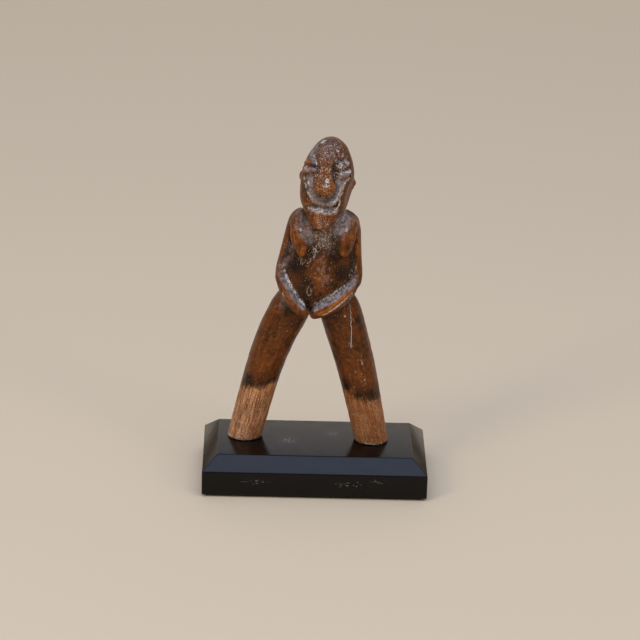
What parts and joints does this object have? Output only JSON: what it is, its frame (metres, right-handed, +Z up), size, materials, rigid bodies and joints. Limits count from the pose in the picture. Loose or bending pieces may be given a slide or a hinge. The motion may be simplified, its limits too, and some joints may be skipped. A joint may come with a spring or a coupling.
{
  "type": "carved fertility doll on display base",
  "caption": "Standing wooden doll with a long head, jutting chin, hands joined below the belly and legs set wide apart, pinned to a low black base with chamfered top edges.",
  "frame": {"origin": "middle of the footprint, on the surface the felt rests on", "axes": "+Z up, the doll faces -Y, +X is the viewer's right when facing it"},
  "size_m": [0.12, 0.064, 0.1913],
  "materials": {
    "patinated_wood": "dark polished patina, worn to raw wood at the feet",
    "black_paint": "black semi-gloss paint on wood",
    "pin_steel": "plain steel rod",
    "dried_glue": "clear yellowish glue, dried glossy",
    "felt": "thin black felt"
  },
  "bodies": {
    "root": {"carved_figure": "patinated_wood", "display_base": "black_paint", "mounting_pin_left": "pin_steel", "mounting_pin_right": "pin_steel", "glue_bead_left": "dried_glue", "glue_bead_right": "dried_glue", "base_felt": "felt"}
  },
  "joints": []
}
